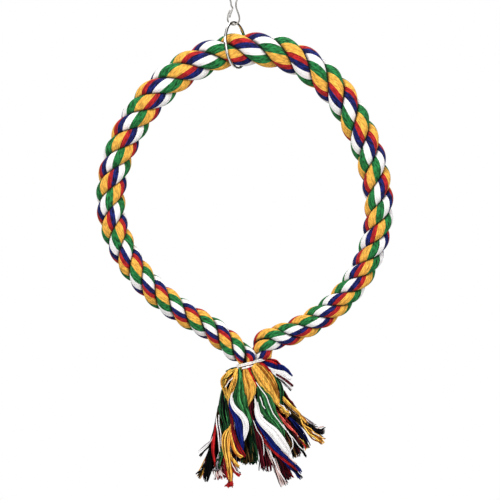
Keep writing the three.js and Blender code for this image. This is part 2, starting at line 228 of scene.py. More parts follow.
# Rope: the route of the ring and its two necks, then three strands laid along it
rope = dict(
    top=0.032, foot=0.0235, neck=0.014, neckBelow=0.007, neckRise=0.0015,
    squeezeStart=(0.0055, 0.0005), squeeze=0.0155, unlay=0.006,
    layTop=0.0705, layFoot=(0.052, 0.0534), layMiddle=0.455, layPower=2.3,
    saddle=(0.00251, 0.0, -0.06049), saddleCrown=35.0, ringHalfWidth=0.125625, ringHeight=0.2937,
    tieShare=0.054, neckOffset=0.00715, neckTurn=35.0, dent=(0.0125, 0.0095, 0.0008),
    neckBend=((0.001, -0.0006, 0.008), (-0.006, 0.0022, 0.0095)),
    ringShape=(
        (0.126, 0.050), (0.196, 0.076), (0.336, 0.093), (0.665, 0.179), (0.898, 0.309), (1.0, 0.465),
        (0.96, 0.621), (0.835, 0.763), (0.633, 0.892), (0.325, 0.982), (-0.0665, 1.0), (-0.388, 0.952),
        (-0.664, 0.863), (-0.859, 0.747), (-0.979, 0.615), (-0.997, 0.471), (-0.879, 0.336),
        (-0.666, 0.224), (-0.385, 0.139), (-0.262, 0.110), (-0.1135, 0.0586),
    ),
    routeSteps=40, laySteps=3000, saddleSteps=4000,
)
saddleShape = max(rope["ringShape"], key=lambda place: place[1])
ringMiddleX = rope["saddle"][0] - saddleShape[0] * rope["ringHalfWidth"]
tieX = ringMiddleX + rope["tieShare"] * rope["ringHalfWidth"]
tieZ = rope["saddle"][2] - saddleShape[1] * rope["ringHeight"]
front = Vector((0, -1, 0))
neckTurn = math.radians(rope["neckTurn"])
neckMiddles = [Vector((tieX + side * rope["neckOffset"] * math.cos(neckTurn),
                       side * rope["neckOffset"] * math.sin(neckTurn), tieZ)) for side in (1, -1)]


def throughPoints(points, steps):
    # centripetal Catmull-Rom through the points, with the end points carried on
    points = [Vector(point) for point in points]
    points = [2 * points[0] - points[1]] + points + [2 * points[-1] - points[-2]]
    line = []
    for p0, p1, p2, p3 in zip(points, points[1:], points[2:], points[3:]):
        d0, d1, d2 = (math.sqrt((b - a).length) for a, b in ((p0, p1), (p1, p2), (p2, p3)))
        t1 = ((p1 - p0) / d0 - (p2 - p0) / (d0 + d1) + (p2 - p1) / d1) * d1
        t2 = ((p2 - p1) / d1 - (p3 - p1) / (d1 + d2) + (p3 - p2) / d2) * d1
        for i in range(steps):
            s = i / steps
            line.append(p1 + t1 * s + (3 * (p2 - p1) - 2 * t1 - t2) * s ** 2
                        + (2 * (p1 - p2) + t1 + t2) * s ** 3)
    line.append(points[-2])
    return line


class Route:
    # a line of points that can be asked for the place and the heading at any run along it
    def __init__(self, line):
        self.line = line
        self.runs = [0.0]
        for a, b in zip(line, line[1:]):
            self.runs.append(self.runs[-1] + (b - a).length)
        self.length = self.runs[-1]

    def place(self, run):
        run = min(max(run, 0.0), self.length)
        low = min(bisect.bisect_right(self.runs, run) - 1, len(self.runs) - 2)
        share = (run - self.runs[low]) / max(self.runs[low + 1] - self.runs[low], 1e-12)
        return self.line[low].lerp(self.line[low + 1], share)

    def heading(self, run, reach=0.0008):
        return (self.place(run + reach) - self.place(run - reach)).normalized()


def ropeRoutePoints():
    right, left = neckMiddles
    bendRight, bendLeft = (Vector(bend) for bend in rope["neckBend"])
    rise = Vector((0, 0, rope["neckRise"]))
    below = Vector((0, 0, -rope["neckBelow"]))
    points = [right + below, right + below / 2, right + rise, right + bendRight]
    for x, z in rope["ringShape"]:
        points.append((ringMiddleX + x * rope["ringHalfWidth"], 0, tieZ + z * rope["ringHeight"]))
    points += [left + bendLeft, left + rise, left + below / 2, left + below]
    return points


ropeRoute = Route(throughPoints(ropeRoutePoints(), rope["routeSteps"]))
ropeLength = ropeRoute.length


def freeDiameter(run):
    swell = math.sin(math.pi * min(max(run / ropeLength, 0), 1)) ** 2
    return lerp(rope["foot"], rope["top"], swell)


def ropeDiameter(run):
    startRight, startLeft = rope["squeezeStart"]
    fromNeck = min(run - startRight, ropeLength - run - startLeft) - rope["neckBelow"]
    return lerp(rope["neck"], freeDiameter(run), smooth(fromNeck / rope["squeeze"]))


def ropeLay(run):
    share = min(max(run / ropeLength, 0.0), 1.0)
    atRight = share < rope["layMiddle"]
    fromFoot = share / rope["layMiddle"] if atRight else (1 - share) / (1 - rope["layMiddle"])
    swell = math.sin(math.pi / 2 * fromFoot) ** (2 * rope["layPower"])
    lay = lerp(rope["layFoot"][0 if atRight else 1], rope["layTop"], swell)
    return lay * ropeDiameter(run) / freeDiameter(run)


def layTable():
    # turns of the lay up to each step along the rope, whose ends below the tie run straight
    table = [0.0]
    step = ropeLength / rope["laySteps"]
    for i in range(rope["laySteps"]):
        run = (i + 0.5) * step
        ease = smooth((min(run, ropeLength - run) - rope["neckBelow"]) / rope["unlay"])
        table.append(table[-1] + ease * step / ropeLay(run))
    return table


ropeTurns = layTable()


def turnsAt(run):
    at = min(max(run / ropeLength, 0.0), 1.0) * (len(ropeTurns) - 1)
    low = min(int(at), len(ropeTurns) - 2)
    return lerp(ropeTurns[low], ropeTurns[low + 1], at - low)


saddleRun = min((i * ropeLength / rope["saddleSteps"] for i in range(rope["saddleSteps"] + 1)),
                key=lambda run: (ropeRoute.place(run) - Vector(rope["saddle"])).length)
# the crown is counted from the rope's underside, a quarter turn before its front
firstTurn = rope["saddleCrown"] / 360 - 0.25 - turnsAt(saddleRun)
print("rope length", round(ropeLength, 4), "with", round(ropeTurns[-1], 3), "turns")


def ropeDent(run):
    # the rope is pressed in beside the saddle, where the lift ring comes close at the end of the sway
    past, reach, depth = rope["dent"]
    return depth * smooth(1 - abs(run - saddleRun - past) / reach)


# Tubes: the strands, the tie, the clip and the lift ring are tubes round a path, with ridges of yarn or none
tube = dict(pressedAt=(1.5, 2.25), wobbleScale=(7.31, 60.0), proudest=1.05, edge=0.001, weld=5e-6)


def linkedObject(name, mesh):
    made = bpy.data.objects.new(name, mesh)
    scene.collection.objects.link(made)
    return made


def pathObject(name, centres, radials, sides, radii, phases):
    # the points that a tube follows, with what its tree needs to know at each
    mesh = bpy.data.meshes.new(name)
    mesh.from_pydata(centres, [(i, i + 1) for i in range(len(centres) - 1)], [])
    for key, values in (("radial", radials), ("side", sides)):
        flat = [number for vector in values for number in vector]
        mesh.attributes.new(key, "FLOAT_VECTOR", "POINT").data.foreach_set("vector", flat)
    for key, values in (("radius", radii), ("phase", phases), ("along", Route(centres).runs)):
        mesh.attributes.new(key, "FLOAT", "POINT").data.foreach_set("value", values)
    return linkedObject(name, mesh)


def newTree(name, sockets):
    tree = bpy.data.node_groups.new(name, "GeometryNodeTree")
    tree.interface.new_socket(name="Geometry", in_out="INPUT", socket_type="NodeSocketGeometry")
    for label, kind in sockets:
        tree.interface.new_socket(name=label, in_out="INPUT", socket_type="NodeSocket" + kind)
    tree.interface.new_socket(name="Geometry", in_out="OUTPUT", socket_type="NodeSocketGeometry")
    return tree, addNode(tree, "NodeGroupInput").outputs


def closeTree(tree, mesh, material):
    mesh = addWire(tree, "GeometryNodeSetShadeSmooth", {"Geometry": mesh})
    mesh = addWire(tree, "GeometryNodeRealizeInstances", {"Geometry": mesh})
    mesh = addWire(tree, "GeometryNodeSetMaterial", {"Geometry": mesh, "Material": material})
    addNode(tree, "NodeGroupOutput", {"Geometry": mesh})


def named(tree, name, kind):
    return addWire(tree, "GeometryNodeInputNamedAttribute", {"Name": name}, data_type=kind)


def stored(tree, mesh, name, value, kind, domain):
    return addWire(tree, "GeometryNodeStoreNamedAttribute", {
        "Geometry": mesh, "Name": name, "Value": value}, data_type=kind, domain=domain)


def yarnRopeTree():
    # a tube of yarn ridges round a path, whose columns follow the yarns
    tree, given = newTree("yarnRope", (
        ("Rows", "Int"), ("Yarns", "Int"), ("Points per yarn", "Int"), ("Ridge depth", "Float"),
        ("Pressed", "Float"), ("Wobble", "Float"), ("Seed", "Float"), ("Material", "Material"),
    ))
    around = wholeMaths(tree, "MULTIPLY", given["Yarns"], given["Points per yarn"])
    grid = addWire(tree, "GeometryNodeMeshGrid", {
        "Vertices X": wholeMaths(tree, "ADD", around, 1), "Vertices Y": given["Rows"]})
    index = addWire(tree, "GeometryNodeInputIndex")
    row = wholeMaths(tree, "MODULO", index, given["Rows"])
    turn = maths(tree, "DIVIDE", wholeMaths(tree, "DIVIDE_FLOOR", index, given["Rows"]), around)

    def atRow(value, kind):
        return addWire(tree, "GeometryNodeSampleIndex", {
            "Geometry": given["Geometry"], "Value": value, "Index": row}, data_type=kind, domain="POINT")

    full, phase, along = (atRow(named(tree, name, "FLOAT"), "FLOAT") for name in ("radius", "phase", "along"))
    radial, side = (atRow(named(tree, name, "FLOAT_VECTOR"), "FLOAT_VECTOR") for name in ("radial", "side"))
    centre = atRow(addWire(tree, "GeometryNodeInputPosition"), "FLOAT_VECTOR")

    # a strand is pressed in on the side that faces the rope's middle
    angle = (turn - phase) * (2 * math.pi)
    inward = maths(tree, "ABSOLUTE", maths(tree, "WRAP", angle, math.pi, -math.pi))
    press = eased(tree, inward, *tube["pressedAt"]) * given["Pressed"]
    yarnAt = turn * given["Yarns"]
    within = maths(tree, "FRACT", yarnAt) * 2.0 - 1.0
    hollow = 1.0 - maths(tree, "SQRT", 1.0 - within * within)
    whichYarn = maths(tree, "FLOOR", yarnAt + tube["edge"])
    yarnScale, alongScale = tube["wobbleScale"]
    wobbleAt = joined(tree, whichYarn * yarnScale, along * alongScale, given["Seed"])
    wave = (noise(tree, wobbleAt, 1.0, detail=1.0) - 0.5) * given["Wobble"]
    radius = full * (1.0 - press) - hollow * given["Ridge depth"] + wave
    radius = maths(tree, "MAXIMUM", maths(tree, "MINIMUM", radius, full * tube["proudest"]), 0.0)
    outward = vectors(tree, "ADD", scaled(tree, radial, maths(tree, "COSINE", angle)),
                      scaled(tree, side, maths(tree, "SINE", angle)))
    place = vectors(tree, "ADD", centre, scaled(tree, outward, radius))
    mesh = addWire(tree, "GeometryNodeSetPosition", {"Geometry": grid, "Position": place})
    chart = addWire(tree, "GeometryNodeFieldOnDomain", {0: joined(tree, turn, along, 0.0)},
                    data_type="FLOAT_VECTOR", domain="POINT")
    mesh = stored(tree, mesh, "UVMap", chart, "FLOAT2", "CORNER")
    mesh = stored(tree, mesh, "inward", inward, "FLOAT", "POINT")
    mesh = addWire(tree, "GeometryNodeFlipFaces", {"Mesh": mesh})
    mesh = addWire(tree, "GeometryNodeMergeByDistance", {"Geometry": mesh, "Distance": tube["weld"]})
    closeTree(tree, mesh, given["Material"])
    return tree


def throughTree(made, tree, settings):
    # runs a tree on an object and keeps the result as its plain mesh
    modifier = made.modifiers.new(tree.name, "NODES")
    modifier.node_group = tree
    for item in tree.interface.items_tree:
        if item.in_out == "INPUT" and item.name in settings:
            modifier[item.identifier] = settings[item.name]
    graph = bpy.context.evaluated_depsgraph_get()
    mesh = bpy.data.meshes.new_from_object(made.evaluated_get(graph), depsgraph=graph)
    made.modifiers.clear()
    path = made.data
    made.data = mesh
    mesh.name = made.name
    bpy.data.meshes.remove(path)
    return made


ropeTree = yarnRopeTree()


def tubePiece(path, material, yarns=1, points=16, ridge=0.0, pressed=0.0, wobble=0.0, seed=0.0):
    return throughTree(path, ropeTree, {
        "Rows": len(path.data.vertices), "Yarns": yarns, "Points per yarn": points, "Ridge depth": ridge,
        "Pressed": pressed, "Wobble": wobble, "Seed": seed, "Material": material})


# Strands: each of five bands of yarn, which turn slowly round the strand along its length
strand = dict(
    share=0.2329, diameter=0.0136, rows=632, yarns=36, pointsPerYarn=4, ridge=0.00028, pressed=0.10,
    wobble=0.00025, reach=0.0005, bandTurn=2.0, bandSway=0.45, grooveShadeAt=(1.1, 1.75), grooveShadeTone=0.05,
    hue=(0.86, 0.2), patchScale=(0.8, 260.0), fleckScale=(0.62, 310.0), fleckSeed=5.0,
    fleckTone=(0.40, 0.60, -0.15, 0.22), darkest=0.15,
    grain=dict(green=2.3, amber=1.15, red=1.5, blue=2.8, white=0.1),
    bands=(("green", 0.0), ("amber", 0.25), ("red", 0.49), ("blue", 0.63), ("white", 0.81)),
    lays=dict(
        strandA=dict(
            node="strand_a", slot="green_cotton", index=0, first=0.0259, band=(0.225, -0.22, -0.0087),
            foot="left", footTwist=(-0.14, 0.006, 0.022),
            footBulge=(0.0115, 0.0075, 0.0018, (0.0024, -0.0008, 0))),
        strandB=dict(
            node="strand_b", slot="orange_cotton", index=1, first=0.0574, band=(-0.19, -0.295, -0.0065),
            foot="right", footTwist=(-0.38, 0.010, 0.026),
            footBulge=(0.0165, 0.0085, 0.0025, (0.0032, -0.0021, 0))),
        strandC=dict(
            node="strand_c", slot="blue_cotton", index=2, first=0.0405, band=(-0.019, -0.255, -0.0075)),
    ),
)


def bandRamp(tree, middle, colours):
    ramp = addNode(tree, "ShaderNodeValToRGB", {0: middle})
    ramp.color_ramp.interpolation = "CONSTANT"
    stops = ramp.color_ramp.elements
    while len(stops) < len(strand["bands"]):
        stops.new(1.0)
    for stop, (name, share) in zip(stops, strand["bands"]):
        stop.position = share
        stop.color = colours[name]
    return Wire(ramp)


def strandMaterial():
    material, tree = emptyMaterial("bandedCotton")
    chart = addNode(tree, "ShaderNodeSeparateXYZ", {0: addWire(tree, "ShaderNodeUVMap", uv_map="UVMap")})
    along = Wire(chart, 1)
    yarns = float(strand["yarns"])
    yarnAt = Wire(chart, 0) * yarns
    whichYarn = maths(tree, "FLOOR", yarnAt)
    middle = maths(tree, "DIVIDE", whichYarn + 0.5, yarns)
    colour = bandRamp(tree, middle, dye)
    grain = bandRamp(tree, middle, {name: (depth,) * 3 + (1.0,) for name, depth in strand["grain"].items()})
    hue = addWire(tree, "ShaderNodeTexWhiteNoise", {"W": whichYarn}, noise_dimensions="1D")

    def speckle(scales, seed, detail):
        return noise(tree, joined(tree, yarnAt * scales[0], along * scales[1], seed), 1.0, detail)

    patch = speckle(strand["patchScale"], 0.0, detail=3.0)
    fleck = speckle(strand["fleckScale"], strand["fleckSeed"], detail=2.0)
    fleck = eased(tree, fleck, *strand["fleckTone"])
    leastHue, hueRange = strand["hue"]
    shade = hue * hueRange + leastHue + (patch - 0.5) * grain - fleck * grain
    shade = maths(tree, "MAXIMUM", shade, strand["darkest"])
    # painted shade: each strand's colour darkens towards the grooves where it presses on its neighbours and
    # the rope's core
    inward = Wire(addNode(tree, "ShaderNodeAttribute", attribute_name="inward"), "Fac")
    shade = shade * eased(tree, inward, *strand["grooveShadeAt"], 1.0, strand["grooveShadeTone"])
    cottonShader(tree, scaled(tree, colour, shade), patch)
    return material


def strandPlaces(facts):
    angle0 = firstTurn + facts["index"] / len(strand["lays"])
    count = round(angle0 + turnsAt(facts["first"]))
    rows = strand["rows"] - 2
    runs = [ropeLength * i / (rows - 1) for i in range(rows)]
    runs = [runs[0]] + runs + [runs[-1]]

    def centreAt(run):
        run = min(max(run, 0.0), ropeLength)
        angle = 2 * math.pi * (angle0 + turnsAt(run))
        outward = ropeRoute.heading(run).cross(front).normalized()
        radial = front * math.cos(angle) + outward * math.sin(angle)
        offset = ropeDiameter(run) * (0.5 - strand["share"]) - ropeDent(run) / 2
        return ropeRoute.place(run) + radial * offset, radial

    twist, twistStart, twistEnd = facts.get("footTwist", (0.0, 0.0, 1.0))
    bulgeAt, bulgeReach, bulge, bulgeShift = facts.get("footBulge", (0.0, 1.0, 0.0, (0, 0, 0)))
    a, b, c = facts["band"]
    centres, radials, sides, radii, phases = [], [], [], [], []
    for row, run in enumerate(runs):
        centre, radial = centreAt(run)
        ahead = centreAt(run + strand["reach"])[0] - centreAt(run - strand["reach"])[0]
        ahead.normalize()
        radial = (radial - ahead * radial.dot(ahead)).normalized()
        turns = angle0 + turnsAt(run) - count
        fromFoot = ropeLength - run if facts.get("foot") == "left" else run
        swelling = smooth(1 - abs(fromFoot - bulgeAt) / bulgeReach)
        centres.append(centre + Vector(bulgeShift) * swelling)
        radials.append(radial)
        sides.append(radial.cross(ahead))
        thick = ropeDiameter(run) * strand["share"] - ropeDent(run) / 2 + bulge * swelling
        radii.append(0.0 if row in (0, len(runs) - 1) else thick)
        sway = strand["bandSway"] * math.sin(2 * math.pi * turns) / (2 * math.pi)
        loosened = twist * (1 - smooth((fromFoot - twistStart) / (twistEnd - twistStart)))
        phases.append(a + b * turns + c * turns * turns - strand["bandTurn"] * turns - sway + loosened)
    return centres, radials, sides, radii, phases


def makeStrands():
    material = strandMaterial()
    made = {}
    for name, facts in strand["lays"].items():
        places = strandPlaces(facts)
        piece = tubePiece(
            pathObject(name, *places), material, seed=float(facts["index"]),
            yarns=strand["yarns"], points=strand["pointsPerYarn"], ridge=strand["ridge"],
            pressed=strand["pressed"], wobble=strand["wobble"])
        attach(piece, "perch")
        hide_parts(facts["node"])
        made[name] = (piece, places[0])
        print(name, len(piece.data.polygons), "faces")
    return made


strands = makeStrands()


# Steel: bright nickel plate on the lift ring, duller spring wire for the clip, drawn wire in the rope's core
steel = dict(
    cloudScale=260.0, worn=(0.42, 0.68), dulled=(0.3, 0.75), bumpDepth=0.0002,
    kinds=dict(
        nickelPlate=dict(tone=(0.80, 0.79, 0.77, 1.0), dull=(0.55, 0.54, 0.51, 1.0),
                         roughness=(0.06, 0.16), bump=0.05, grain=1800.0),
        springWire=dict(tone=(0.32, 0.31, 0.29, 1.0), dull=(0.22, 0.20, 0.18, 1.0),
                        roughness=(0.34, 0.5), bump=0.08, grain=2600.0),
        drawnWire=dict(tone=(0.42, 0.42, 0.43, 1.0), dull=(0.27, 0.25, 0.24, 1.0),
                       roughness=(0.3, 0.55), bump=0.2, grain=2600.0),
    ),
)


def steelMaterial(name, facts):
    material, tree = emptyMaterial(name)
    spot = addNode(tree, "ShaderNodeTexCoord").outputs["Object"]
    cloud = noise(tree, spot, steel["cloudScale"], detail=4.0)
    fine = noise(tree, spot, facts["grain"], detail=3.0)
    # the mix node's colour sockets are its seventh and eighth, and its colour comes out third
    mixed = Wire(addNode(tree, "ShaderNodeMix", {
        0: eased(tree, cloud, *steel["worn"]), 6: facts["tone"], 7: facts["dull"]}, data_type="RGBA"), 2)
    bump = addWire(tree, "ShaderNodeBump", {
        "Height": fine, "Strength": facts["bump"], "Distance": steel["bumpDepth"]})
    shader = addWire(tree, "ShaderNodeBsdfPrincipled", {
        "Base Color": mixed, "Metallic": 1.0, "Normal": bump,
        "Roughness": eased(tree, cloud, *steel["dulled"], *facts["roughness"])})
    addNode(tree, "ShaderNodeOutputMaterial", {"Surface": shader})
    return material


steels = {name: steelMaterial(name, facts) for name, facts in steel["kinds"].items()}


def sweep(name, centres, radii, upward, material, twist=0.0, **ridges):
    # a tube of its own thickness at each centre, with its ends closed
    centres = [Vector(centre) for centre in centres]
    centres = [centres[0]] + centres + [centres[-1]]
    radii = [0.0] + list(radii) + [0.0]
    radial = Vector(upward)
    radials, sides, phases = [], [], []
    run = 0.0
    for i, centre in enumerate(centres):
        ahead = centres[min(i + 2, len(centres) - 1)] - centres[max(i - 2, 0)]
        ahead.normalize()
        radial = (radial - ahead * radial.dot(ahead)).normalized()
        run += (centre - centres[max(i - 1, 0)]).length
        radials.append(radial.copy())
        sides.append(radial.cross(ahead))
        phases.append(run * twist)
    return tubePiece(pathObject(name, centres, radials, sides, radii, phases), material, **ridges)


def roundedEnds(centres, radius, cutShare=0.72):
    # the cut ends of a wire are dressed round
    route = Route(centres)
    radii = []
    for run in route.runs:
        share = min(min(run, route.length - run) / radius, 1.0)
        radii.append(radius * lerp(cutShare, 1.0, math.sqrt(share * (2 - share))))
    return radii


# Clip: one bent wire, down the free leg, round both loops and back inside the leg
clip = dict(wire=0.0014, length=0.0376, loop=0.0111, waist=0.0045, legTop=0.005, tail=0.007, tailGap=0.0005,
            sideSteps=12, loopSteps=20, smoothSteps=3)


def clipCentres():
    waistZ = (clip["wire"] - clip["length"]) / 2
    loopMiddle = (clip["length"] - clip["loop"]) / 2
    half = clip["loop"] / 2
    n = clip["sideSteps"]

    def halfWidth(rise):
        swell = (1 - math.cos(math.pi * min(abs(rise) / loopMiddle, 1))) / 2
        return (clip["waist"] + (clip["loop"] - clip["waist"]) * swell) / 2

    def loopArc(middle, firstAngle):
        angles = [firstAngle + math.pi * i / clip["loopSteps"] for i in range(clip["loopSteps"] + 1)]
        return [(math.cos(angle) * half, middle + math.sin(angle) * half) for angle in angles]

    outline = []
    for i in range(n):
        rise = -lerp(clip["legTop"], loopMiddle, i / n)
        outline.append((-halfWidth(rise), rise))
    outline += loopArc(-loopMiddle, math.pi)
    for i in range(1, 2 * n):
        rise = lerp(-loopMiddle, loopMiddle, i / (2 * n))
        outline.append((halfWidth(rise), rise))
    outline += loopArc(loopMiddle, 0.0)
    for i in range(1, n + 1):
        rise = loopMiddle * (1 - i / n)
        outline.append((-halfWidth(rise), rise))
    for i in range(1, n + 1):
        rise = -(clip["legTop"] + clip["tail"]) * i / n
        inset = (clip["wire"] + clip["tailGap"]) * smooth(-rise / (clip["legTop"] - clip["wire"]))
        outline.append((inset - halfWidth(rise), rise))
    return throughPoints([(x, 0, waistZ + rise) for x, rise in outline], clip["smoothSteps"])


clipLine = clipCentres()
clipRadii = roundedEnds(clipLine, clip["wire"] / 2)
clipWire = sweep("clipWire", clipLine, clipRadii, (0, 1, 0), steels["springWire"])
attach(clipWire, "hanger")
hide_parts("hanging_clip")

# Lift ring: round bar, butt welded, with the weld dressed nearly flush at the back
ring = dict(radius=0.0215, bar=0.003, middle=(0.002061, 0.0, -0.055801), across=(-0.4347, -0.8996, -0.0419),
            up=(-0.0958, 0.0, 0.9954), steps=144, pointsRound=24,
            weldAt=200.0, weldLong=3.5, weldProud=0.00012)


def ringPiece():
    middle, across, up = (Vector(ring[key]) for key in ("middle", "across", "up"))
    normal = across.cross(up).normalized()
    centres, sides, radii = [], [], []
    for i in range(ring["steps"] + 1):
        turn = 360.0 * i / ring["steps"]
        angle = math.radians(turn)
        away = abs(turn - ring["weldAt"]) / ring["weldLong"]
        spoke = across * math.cos(angle) + up * math.sin(angle)
        centres.append(middle + spoke * ring["radius"])
        sides.append(-spoke.normalized())
        radii.append(ring["bar"] / 2 + ring["weldProud"] * math.exp(-away * away))
    path = pathObject("liftRing", centres, [normal] * len(centres), sides, radii, [0.0] * len(centres))
    return tubePiece(path, steels["nickelPlate"], points=ring["pointsRound"])


liftRing = ringPiece()
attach(liftRing, "link")
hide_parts("lift_ring")
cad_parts["core_wire"].data.materials.clear()
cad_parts["core_wire"].data.materials.append(steels["drawnWire"])
print("steel made")

# Tie: two-ply cotton cord, two and a half turns round both necks
tie = dict(full=0.0015, turns=2.5, pitch=0.00145, tilt=15.0, radius=0.0083, straight=0.0143, stepsPerTurn=96,
           plies=2, pointsPerPly=8, plyTurn=0.0042, plyDepth=0.0003, shade=linear(252, 250, 246)[:3],
           fibreScale=2200.0, fibreTone=(0.25, 0.75, 0.9, 1.0))


def tieOutline(share):
    # where a cord lies at a share of one turn round both necks, counted from the middle of the back
    straight, radius = tie["straight"], tie["radius"]
    arc = math.pi * radius
    run = (share % 1.0) * 2 * (straight + arc)
    if run < straight / 2:
        return run, radius
    if run < straight / 2 + arc:
        angle = math.pi / 2 - (run - straight / 2) / radius
        return straight / 2 + math.cos(angle) * radius, math.sin(angle) * radius
    if run < 1.5 * straight + arc:
        return straight + arc - run, -radius
    if run < 1.5 * straight + 2 * arc:
        angle = -math.pi / 2 - (run - 1.5 * straight - arc) / radius
        return -straight / 2 + math.cos(angle) * radius, math.sin(angle) * radius
    return run - 2 * (straight + arc), radius


def tieCentres():
    centres = []
    steps = round(tie["turns"] * tie["stepsPerTurn"])
    for i in range(steps + 1):
        turns = tie["turns"] * (i / steps - 0.5)
        along, out = tieOutline(turns)
        x = along * math.cos(neckTurn) - out * math.sin(neckTurn)
        y = along * math.sin(neckTurn) + out * math.cos(neckTurn)
        z = tieZ + x * math.tan(math.radians(tie["tilt"])) + tie["pitch"] * turns
        centres.append(Vector((tieX + x, y, z)))
    return centres


def tieMaterial():
    material, tree = emptyMaterial("tieCotton")
    spot = addNode(tree, "ShaderNodeTexCoord").outputs["Object"]
    fibres = noise(tree, spot, tie["fibreScale"], detail=4.0)
    cottonShader(tree, scaled(tree, tie["shade"], eased(tree, fibres, *tie["fibreTone"])), fibres)
    return material


tieLine = tieCentres()
tieRadii = roundedEnds(tieLine, tie["full"] / 2)
tieCord = sweep("tieCord", tieLine, tieRadii, (0, 0, 1), tieMaterial(), twist=1 / tie["plyTurn"],
                yarns=tie["plies"], points=tie["pointsPerPly"], ridge=tie["plyDepth"])
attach(tieCord, "perch")
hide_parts("tie_cord")
tieLength = Route(tieLine).length
print("tie made", round(tieLength, 3), "m")

# Tassel: loose yarns in bundles that fan out from the tie
tassel = dict(
    yarn=0.0013, sides=6, points=32, packing=0.9, thin=0.45, thick=0.0012, thinnest=0.0002,
    unit=0.0001, top=-0.35, guideSteps=10, reach=0.002, looseness=1.15, backFrom=0.003,
    spiral=2.39996, spiralPlay=0.6, fray=0.14, splay=0.45, splayFrom=0.86,
    wander=0.0010, wanderStart=0.25, waves=(0.6, 2.6), fullTurn=6.28,
    stout=(0.85, 1.1), loneStout=0.7, tipFrom=0.93, tipThin=0.35, seed=11,
    tone=(0.75, 1.12), tones=dict(white=(0.95, 1.03), blue=(0.8, 1.15), red=(0.8, 1.1)),
    gapShade=0.8, gapShades=dict(white=0.0, orange=0.5, leaf=0.85, red=0.35, blue=0.5),
    gapShadeWidths=(0.0023, 0.0037), gapShadePhase=0.91,
    fibreScale=1500.0, fibreTone=(0.2, 0.8, 0.78, 1.1),
    gapShadeMarkScale=(560.0, 560.0, 80.0), gapShadeMarkTone=(0.36, 0.60, -0.32, 0.32),
)
